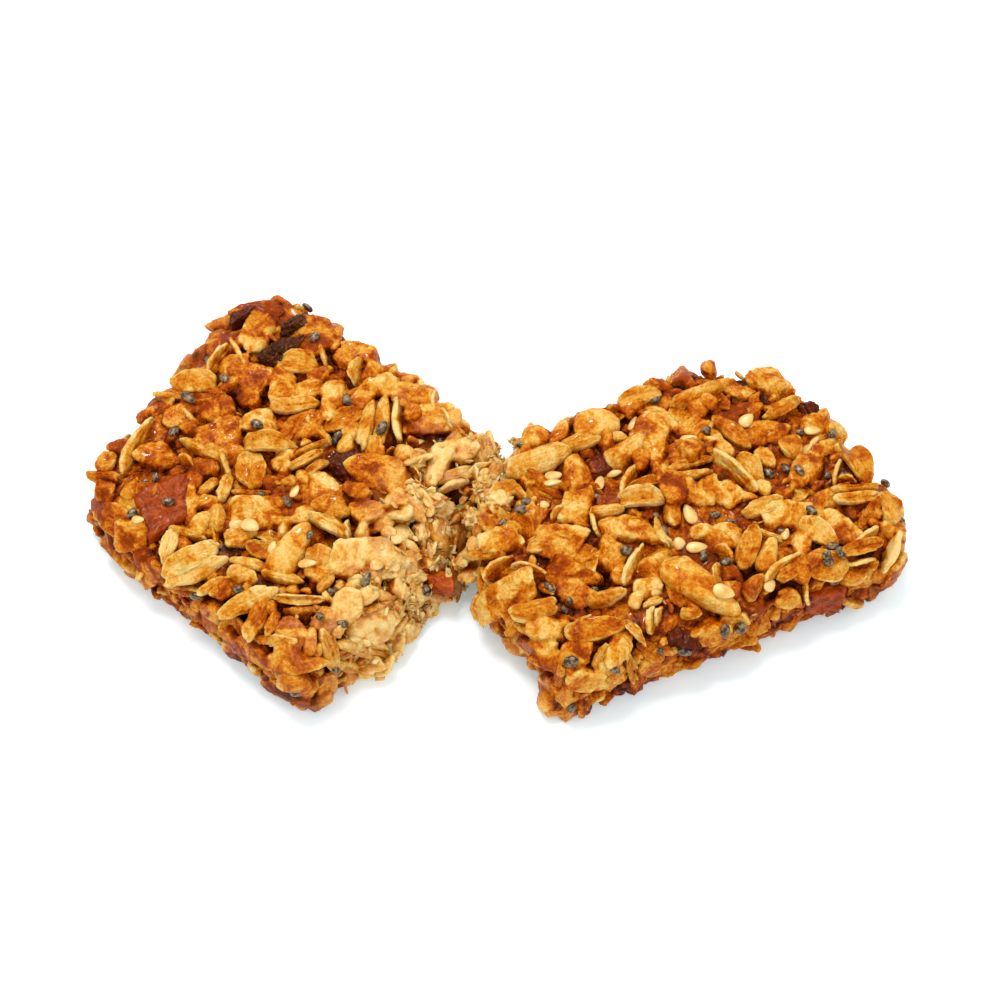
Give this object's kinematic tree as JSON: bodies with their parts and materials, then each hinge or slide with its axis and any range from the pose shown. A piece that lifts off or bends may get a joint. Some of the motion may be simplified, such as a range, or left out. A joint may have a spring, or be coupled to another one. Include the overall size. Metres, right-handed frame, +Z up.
{
  "type": "granola bar",
  "caption": "Baked seedy oat and nut bar with dried fruit, snapped across the middle, its halves swung apart and lying flat.",
  "frame": {"origin": "bottom centre of the bar's box, on the surface that it lies on", "axes": "+X along the snapped bar's length, from the half with the sloping torn face to the other; the break opens towards -Y; +Z up, out of the bar's top"},
  "size_m": [0.1236, 0.0726, 0.0162],
  "materials": {
    "granola": "baked golden brown, lumpy, with a thin sticky sheen",
    "cranberry": "dark red, wrinkled and glossy",
    "raisin": "brown-black, wrinkled and glossy",
    "date": "reddish orange, soft and slightly glossy"
  },
  "bodies": {
    "root": {"half_left": "granola", "half_right": "granola", "cranberry_centre": "cranberry", "cranberry_tip": "cranberry", "cranberry_large": "cranberry", "cranberry_upper": "cranberry", "cranberry_middle": "cranberry", "cranberry_corner": "cranberry", "raisin_back": "raisin", "raisin_ridge": "raisin", "raisin_front": "raisin", "raisin_side": "raisin", "date_cube": "date", "date_side": "date"}
  },
  "joints": []
}
